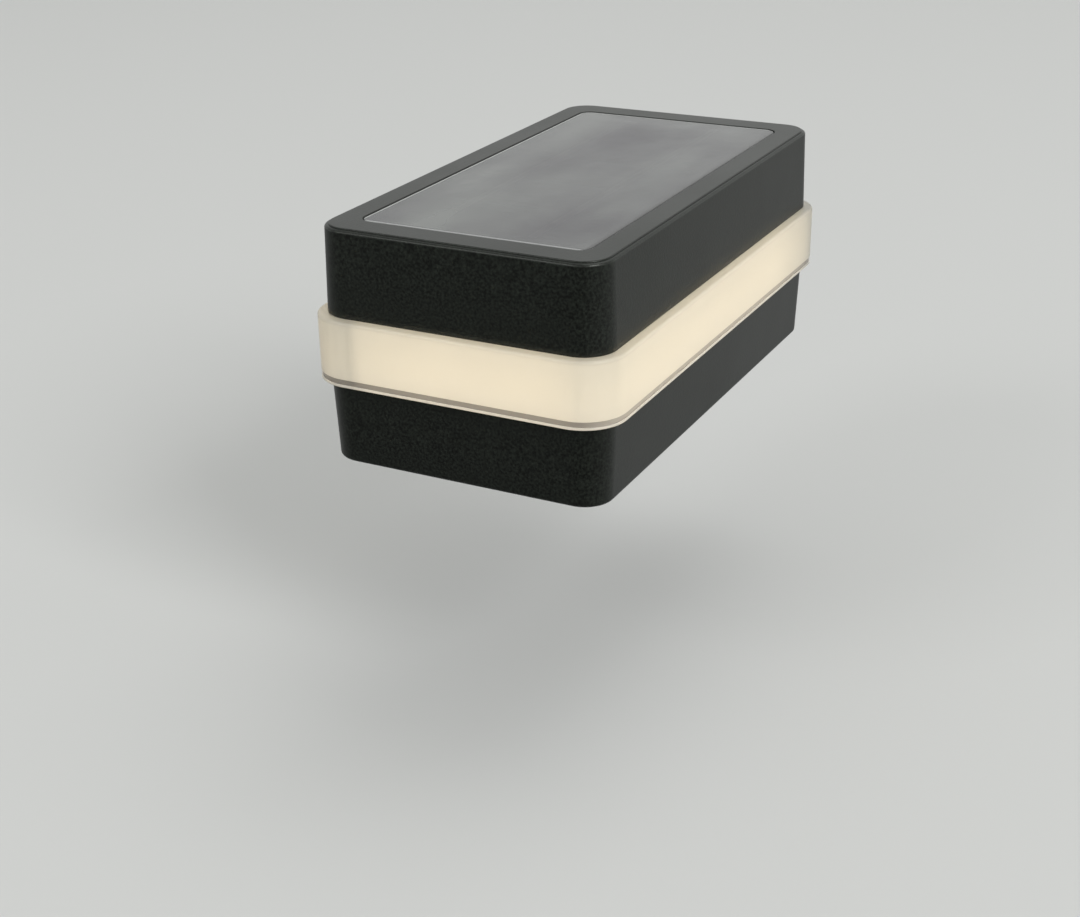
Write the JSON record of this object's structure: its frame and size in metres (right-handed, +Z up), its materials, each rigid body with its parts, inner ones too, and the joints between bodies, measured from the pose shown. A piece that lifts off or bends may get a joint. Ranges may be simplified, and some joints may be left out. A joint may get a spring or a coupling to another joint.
{
  "type": "solar post cap light",
  "caption": "Rectangular fence post cap with a solar panel in its top, a glowing diffuser ring round its middle and a socket underneath for a 60 by 40 mm post.",
  "frame": {"origin": "centre of the bottom rim", "axes": "+X along the short side, +Y along the long side, +Z up towards the solar panel"},
  "size_m": [0.0544, 0.0984, 0.04],
  "materials": {
    "black_plastic": "fine-grained matte black",
    "opal_plastic": "frosted warm white, lit from inside",
    "black_rubber": "soft matte black",
    "white_plastic": "white, high reflectance",
    "board_white": "white solder mask",
    "board_green": "green solder mask",
    "led_body": "white moulded package",
    "led_yellow": "yellow phosphor gel",
    "chip_black": "moulded epoxy with tinned legs",
    "ferrite": "ferrite with copper winding",
    "capacitor_sleeve": "aluminium can with printed band left out",
    "connector_cream": "cream nylon",
    "holder_black": "black",
    "nickel": "nickel plated",
    "cell_green": "shrink sleeve, no print",
    "switch_steel": "tinned frame",
    "knob_white": "moulded knob",
    "silicone": "translucent silicone",
    "foam_tape": "foam tape",
    "silicon_cell": "anti-reflection coated silicon",
    "tinned_ribbon": "tinned copper",
    "clear_laminate": "clear, slightly milky, glossy",
    "wire_red": "red and black wire insulation",
    "wire_black": "black wire insulation",
    "zinc_steel": "zinc plated"
  },
  "bodies": {
    "housing": {"base_shell": "black_plastic", "post_grip_pads": "black_rubber", "seat_gasket": "black_rubber", "lower_gasket": "black_rubber", "diffuser_ring": "opal_plastic", "upper_gasket": "black_rubber", "reflector": "white_plastic", "led_board": "board_white", "leds": "led_body", "led_phosphor": "led_yellow", "controller_chip": "chip_black", "inductor": "ferrite", "capacitors": "capacitor_sleeve", "resistors": "chip_black", "wire_connectors": "connector_cream", "battery_holder": "holder_black", "cell_can": "nickel", "cell_sleeve": "cell_green", "cell_cap": "nickel", "contact_spring": "nickel", "contact_plates": "nickel", "battery_leads": "wire_red", "switch_body": "switch_steel", "switch_leads": "wire_black", "top_shell": "black_plastic", "lead_seal": "silicone", "panel_adhesive": "foam_tape", "panel_backing": "board_green", "solar_cells": "silicon_cell", "cell_ribbons": "tinned_ribbon", "panel_cover": "clear_laminate", "panel_leads": "wire_red", "assembly_screws": "zinc_steel"},
    "door": {"battery_door": "black_plastic", "door_gasket": "black_rubber"},
    "switch": {"switch_slider": "knob_white"}
  },
  "joints": [
    {"name": "door_hinge", "type": "hinge", "parent": "housing", "child": "door", "pos_m": [0, 0.0264, 0.01235], "axis": [1, 0, 0], "range_deg": [0, 90]},
    {"name": "switch_slide", "type": "slide", "parent": "housing", "child": "switch", "axis": [0, 1, 0], "range_m": [0, 0.002]}
  ]
}
